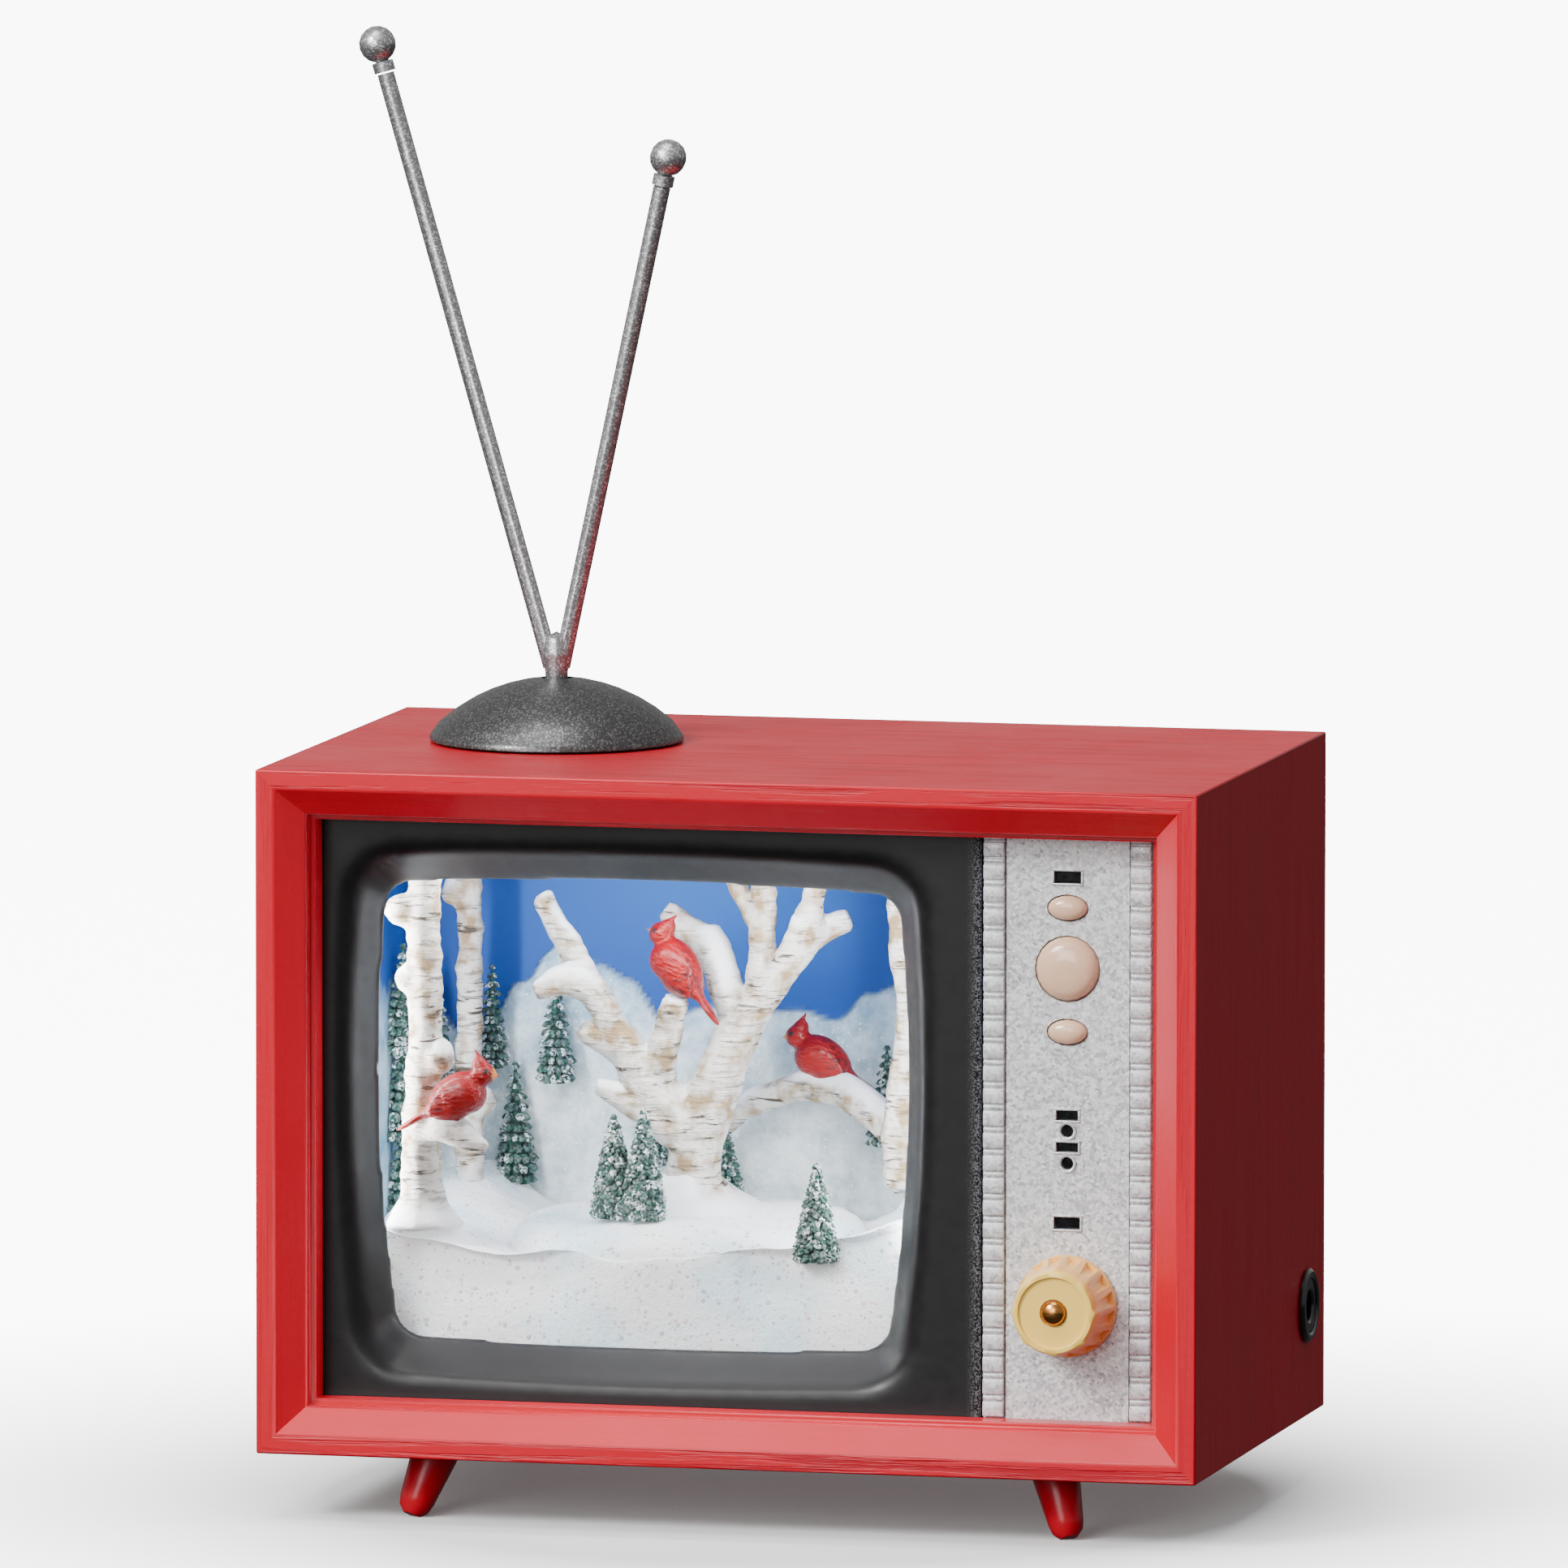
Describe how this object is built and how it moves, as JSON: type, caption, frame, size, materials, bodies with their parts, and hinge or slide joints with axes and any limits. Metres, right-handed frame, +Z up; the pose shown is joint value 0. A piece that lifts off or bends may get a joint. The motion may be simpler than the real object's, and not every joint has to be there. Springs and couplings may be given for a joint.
{
  "type": "light-up television diorama",
  "caption": "Small wooden retro television cabinet with a turning winter scene behind its screen, push buttons, a knob, splayed legs and a rabbit-ear antenna.",
  "frame": {"origin": "on the floor plane under the feet, at the middle of the whole object's width and depth", "axes": "+X to the viewer's right across the screen, +Y from the screen to the back, +Z up"},
  "size_m": [0.1852, 0.1146, 0.2821],
  "materials": {
    "red_board": "satin red lacquer over veneer",
    "red_moulding": "satin red lacquer",
    "black_mask": "satin",
    "window": "clear sheet",
    "silver_paint": "sprayed metallic speckle",
    "black_gloss": "gloss",
    "beige_gloss": "gloss",
    "cream_plastic": "satin",
    "bronze": "plated",
    "antenna_silver": "glittered silver paint",
    "steel": "plated",
    "black_plastic": "fine texture",
    "white_plastic": "plain",
    "blue_tub": "plain",
    "circuit": "solder mask",
    "snow": "glittered",
    "birch": "hand painted",
    "cardinal": "gloss paint",
    "fir": "glittered",
    "paper": "pressed paper",
    "cell_label": "printed sleeve, plain",
    "brass": "turned"
  },
  "bodies": {
    "cabinet": {"cabinet_top": "red_board", "cabinet_bottom": "red_board", "cabinet_left": "red_board", "cabinet_right": "red_board", "front_frame": "red_moulding", "screen_mask": "black_mask", "screen_window": "window", "control_panel": "silver_paint", "trim_strip_left": "silver_paint", "trim_strip_right": "silver_paint", "indicator_insert": "black_gloss", "potentiometer_body": "steel", "switch_board": "circuit", "back_cover": "black_plastic", "battery_box": "black_plastic", "battery_cell_1": "cell_label", "battery_cell_2": "cell_label", "battery_cell_3": "cell_label", "contact_top_a": "steel", "contact_top_b": "steel", "contact_bottom_a": "steel", "contact_bottom_b": "steel", "speaker_basket": "steel", "speaker_cone": "paper", "main_board": "circuit", "led_board": "circuit", "scene_tub": "blue_tub", "scene_backdrop": "snow", "snow_bank": "snow", "left_birch": "birch", "right_arch": "birch", "front_fir": "fir", "left_cardinal": "cardinal", "right_cardinal": "cardinal", "disc_bush": "brass", "gear_motor": "steel", "mechanism_deck": "white_plastic", "dc_jack_body": "black_plastic", "dc_jack_nut": "black_gloss", "antenna_dome": "antenna_silver", "leg_front_left": "red_moulding", "leg_front_right": "red_moulding", "leg_back_left": "red_moulding", "leg_back_right": "red_moulding"},
    "turntable": {"snow_disc": "snow", "birch_tree": "birch", "top_cardinal": "cardinal", "small_firs": "fir", "turntable_gear": "white_plastic"},
    "pinion": {"motor_pinion": "white_plastic"},
    "knob": {"volume_knob": "cream_plastic", "knob_hub": "bronze", "potentiometer_shaft": "steel"},
    "push_button_round": {"round_button": "beige_gloss"},
    "push_button_upper": {"upper_oval_button": "beige_gloss"},
    "push_button_lower": {"lower_oval_button": "beige_gloss"},
    "antenna": {"antenna_mast": "antenna_silver", "antenna_ball_left": "antenna_silver", "antenna_ball_right": "antenna_silver"},
    "door": {"battery_door": "black_plastic"}
  },
  "joints": [
    {"name": "turntable_spin", "type": "hinge", "parent": "cabinet", "child": "turntable", "pos_m": [-0.0221, 0.00365, 0.0344], "axis": [0, 0, 1], "continuous": true},
    {"name": "pinion_spin", "type": "hinge", "parent": "cabinet", "child": "pinion", "pos_m": [-0.0021, 0.00365, 0.0344], "axis": [0, 0, 1], "continuous": true},
    {"name": "knob_turn", "type": "hinge", "parent": "cabinet", "child": "knob", "pos_m": [0.0634, -0.04465, 0.0449], "axis": [0, 1, 0], "range_deg": [0, 300]},
    {"name": "round_button_press", "type": "slide", "parent": "cabinet", "child": "push_button_round", "axis": [0, 1, 0], "range_m": [0, 0.0012], "stiffness_N_per_m": 250, "springref_m": -0.0012},
    {"name": "upper_button_press", "type": "slide", "parent": "cabinet", "child": "push_button_upper", "axis": [0, 1, 0], "range_m": [0, 0.001], "stiffness_N_per_m": 250, "springref_m": -0.0012},
    {"name": "lower_button_press", "type": "slide", "parent": "cabinet", "child": "push_button_lower", "axis": [0, 1, 0], "range_m": [0, 0.001], "stiffness_N_per_m": 250, "springref_m": -0.0012},
    {"name": "antenna_swivel", "type": "hinge", "parent": "cabinet", "child": "antenna", "pos_m": [-0.0488, 0.00425, 0.1571], "axis": [0, 0, 1], "continuous": true},
    {"name": "battery_door_hinge", "type": "hinge", "parent": "cabinet", "child": "door", "pos_m": [0.0588, 0.05495, 0.0515], "axis": [-1, 0, 0], "range_deg": [0, 95]}
  ],
  "couplings": [
    {"joint": "pinion_spin", "follows": "turntable_spin", "ratio": -4}
  ]
}
